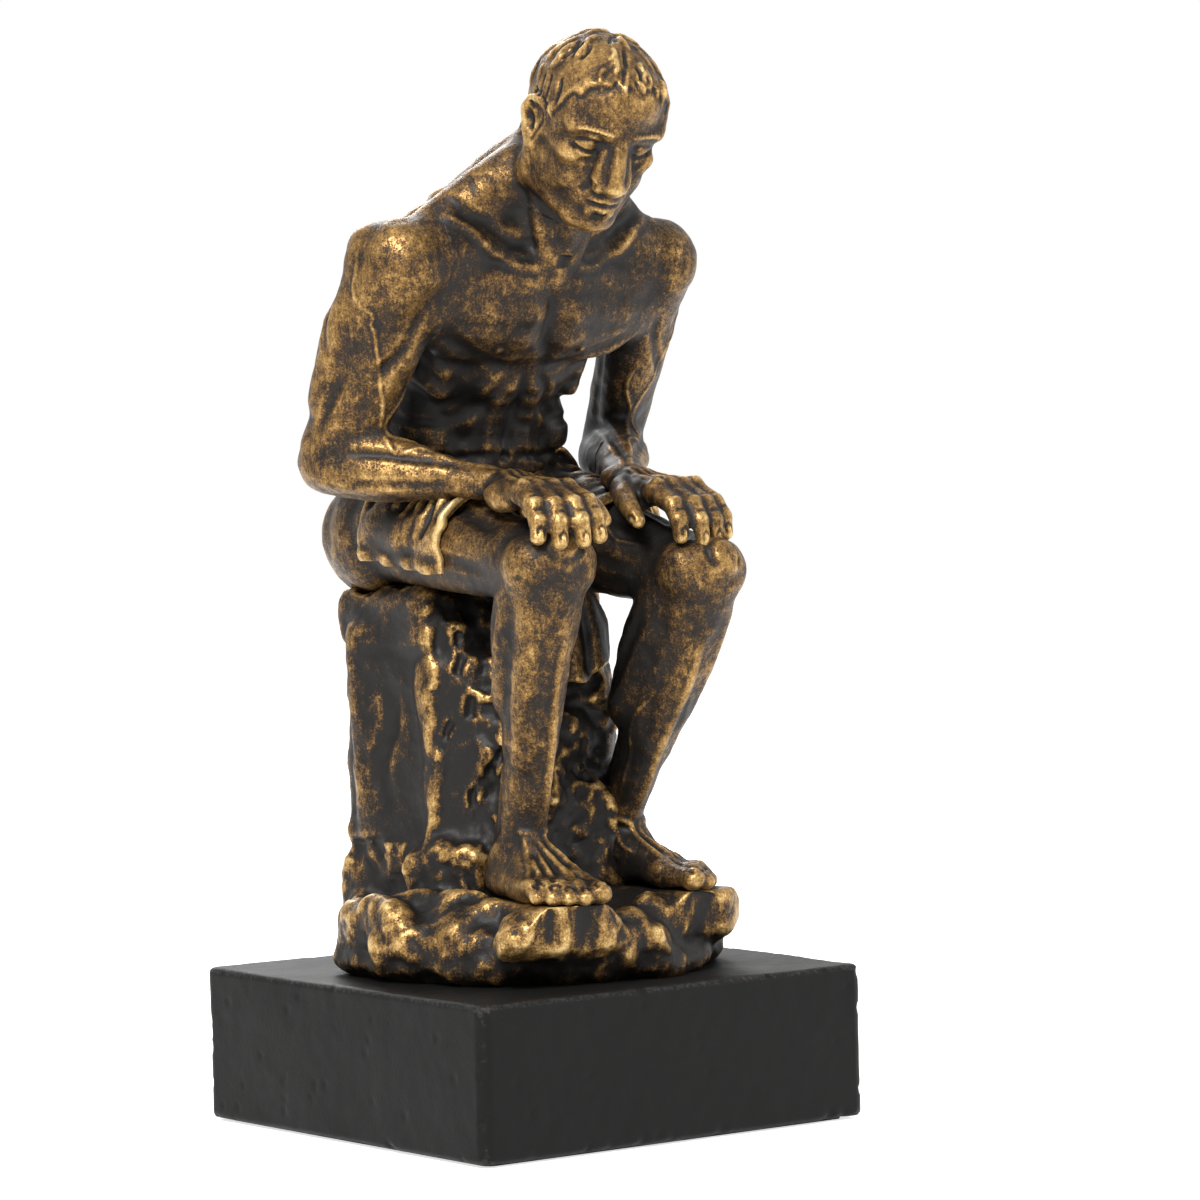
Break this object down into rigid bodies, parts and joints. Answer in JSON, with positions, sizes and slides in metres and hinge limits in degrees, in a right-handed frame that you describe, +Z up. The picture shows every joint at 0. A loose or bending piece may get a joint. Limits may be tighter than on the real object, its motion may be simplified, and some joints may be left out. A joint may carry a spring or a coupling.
{
  "type": "seated figure statue",
  "caption": "Bronze-finished resin statue of a seated, thoughtful man on a rock, hands on his knees and a cloth over his lap, on a square black plinth.",
  "frame": {"origin": "centre of the underside of the felt, where the statue stands on the table", "axes": "+Z up, the figure faces -Y, and its left side is at +X"},
  "size_m": [0.13, 0.13, 0.3004],
  "materials": {
    "bronze_finish": "dark brown glossy paint, dry-brushed antique gold",
    "black_finish": "satin black cast resin",
    "felt": "black felt",
    "steel": "zinc plated",
    "brass": "turned"
  },
  "bodies": {
    "root": {"plinth": "black_finish", "base_felt": "felt", "mounting_bolts": "steel", "bolt_washers": "steel", "threaded_inserts": "brass", "rock_seat": "bronze_finish", "torso": "bronze_finish", "head": "bronze_finish", "left_arm": "bronze_finish", "right_arm": "bronze_finish", "left_leg": "bronze_finish", "right_leg": "bronze_finish", "lap_drape": "bronze_finish", "neck_dowel": "steel", "shoulder_dowels": "steel", "hip_dowels": "steel", "seat_dowels": "steel"}
  },
  "joints": []
}
